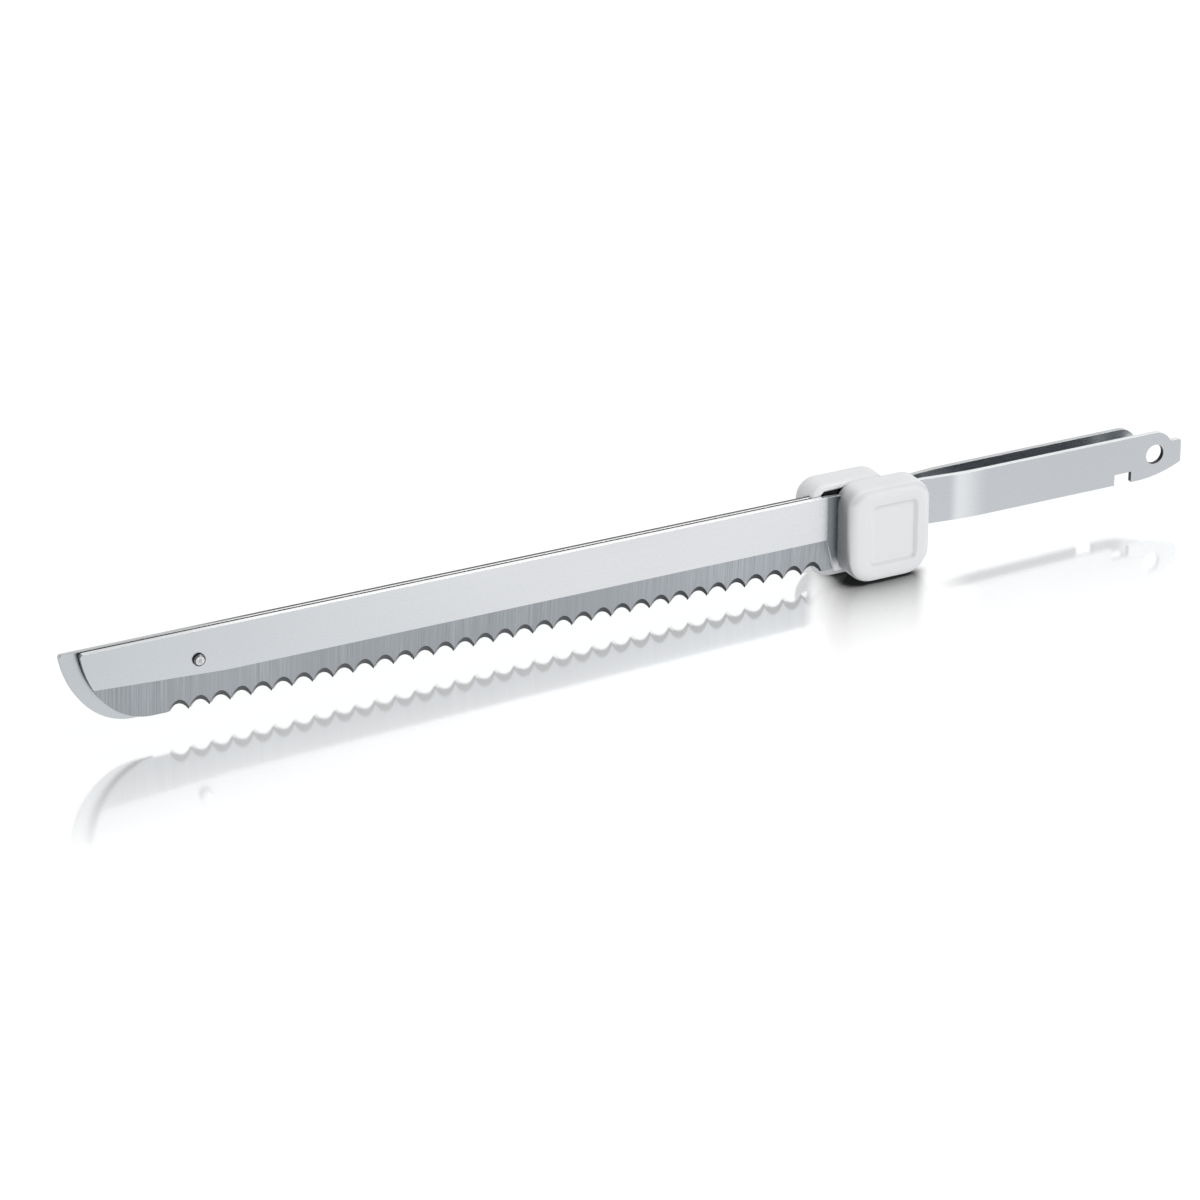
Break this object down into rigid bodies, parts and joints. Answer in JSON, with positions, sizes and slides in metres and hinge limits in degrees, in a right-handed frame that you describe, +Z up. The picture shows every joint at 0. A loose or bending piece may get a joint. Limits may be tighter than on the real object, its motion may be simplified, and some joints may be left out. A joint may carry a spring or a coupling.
{
  "type": "carving knife blade set",
  "caption": "Pair of serrated steel carving blades that slide along each other on a headed rivet, each with a white guard and a bare tang for a handle.",
  "frame": {"origin": "on the table, under the middle of the set's box, with Y = 0 halfway between the two blades", "axes": "+X runs along the blades from their tips to the ends of the tangs, +Z is up, the teeth point down, and the front blade is on the -Y side"},
  "size_m": [0.2922, 0.0168, 0.024],
  "materials": {
    "front_blade": "satin, with a ground bevel",
    "rear_blade": "satin, with a ground bevel",
    "tip_rivet": "turned",
    "front_guard": "moulded, low gloss",
    "rear_guard": "moulded, low gloss"
  },
  "bodies": {
    "front_blade_body": {"front_blade": "front_blade", "front_guard": "front_guard"},
    "rivet_body": {"tip_rivet": "tip_rivet"},
    "rear_blade_body": {"rear_blade": "rear_blade", "rear_guard": "rear_guard"}
  },
  "joints": [
    {"name": "blade_pivot", "type": "hinge", "parent": "front_blade_body", "child": "rivet_body", "pos_m": [-0.1136, 0, 0.01445], "axis": [0, -1, 0], "range_deg": [-30, 30]},
    {"name": "blade_slide", "type": "slide", "parent": "rivet_body", "child": "rear_blade_body", "axis": [1, 0, 0], "range_m": [-0.0057, 0.0128]}
  ]
}
